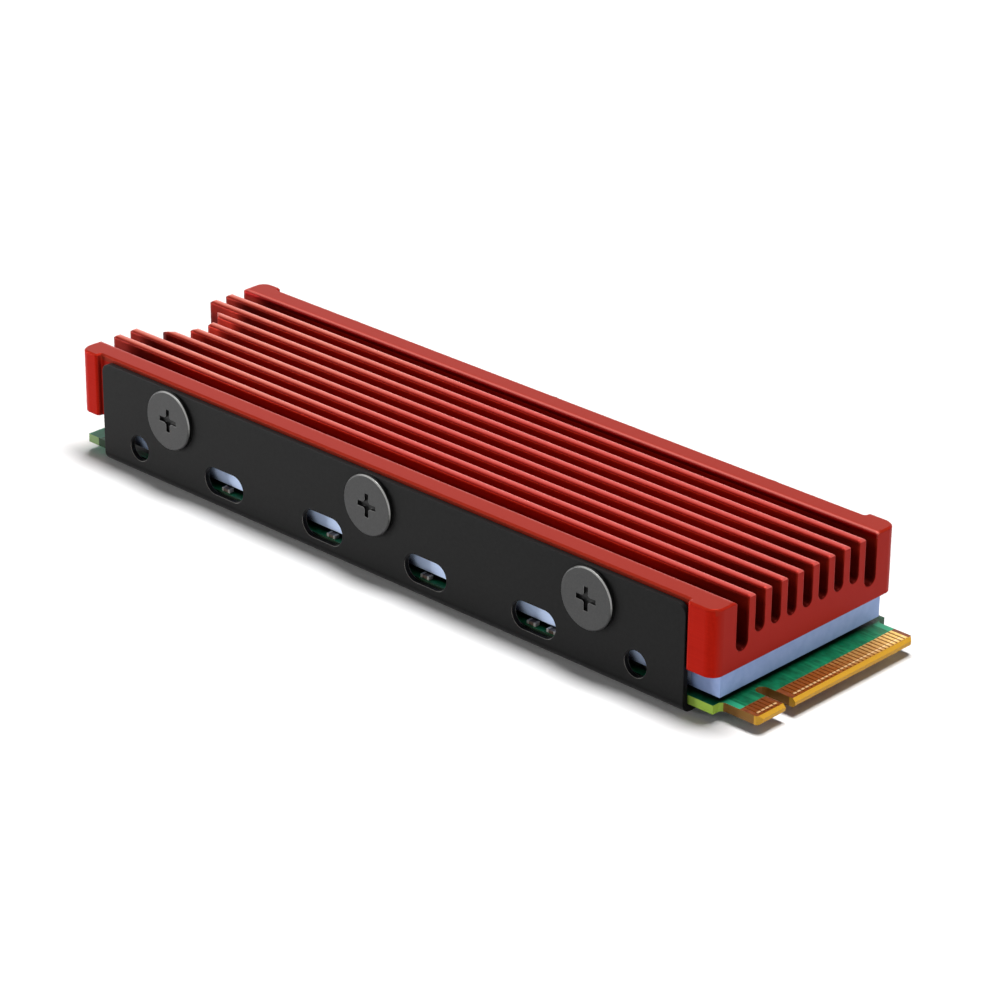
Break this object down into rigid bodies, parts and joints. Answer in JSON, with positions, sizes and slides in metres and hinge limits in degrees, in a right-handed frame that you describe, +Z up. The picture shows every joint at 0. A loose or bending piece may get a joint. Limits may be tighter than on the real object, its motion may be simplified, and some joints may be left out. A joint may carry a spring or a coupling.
{
  "type": "ssd heat sink",
  "caption": "Finned red aluminium heat sink and folded black tray, clamped by side screws round a green M.2 2280 solid-state drive card with thermal pads",
  "frame": {"origin": "middle of the whole object's length and width, on the tray's underside", "axes": "+X along the drive towards its edge contacts, +Y across, +Z up out of the fins"},
  "size_m": [0.0802, 0.024, 0.0103],
  "materials": {
    "anodised_red": "satin",
    "tray_black": "satin",
    "screw_black": "satin",
    "thermal_pad": "matte",
    "board_green": "gloss",
    "gold_plate": "polished",
    "chip_black": "matte",
    "ferrite_grey": "matte",
    "tin_bright": "satin",
    "ceramic_tan": "satin"
  },
  "bodies": {
    "root": {"finned_heat_sink": "anodised_red", "mounting_tray": "tray_black", "side_screw_near_back": "screw_black", "side_screw_near_middle": "screw_black", "side_screw_near_front": "screw_black", "side_screw_far_back": "screw_black", "side_screw_far_middle": "screw_black", "side_screw_far_front": "screw_black", "upper_thermal_pad": "thermal_pad", "lower_thermal_pad": "thermal_pad", "circuit_board": "board_green", "upper_edge_contacts": "gold_plate", "lower_edge_contacts": "gold_plate", "mounting_ring": "gold_plate", "controller_chip": "chip_black", "buffer_memory_chip": "chip_black", "front_flash_chip": "chip_black", "back_flash_chip": "chip_black", "power_chip": "chip_black", "power_inductors": "ferrite_grey", "crystal": "tin_bright", "ceramic_capacitors": "ceramic_tan", "capacitor_terminals": "tin_bright", "chip_resistors": "chip_black"}
  },
  "joints": []
}
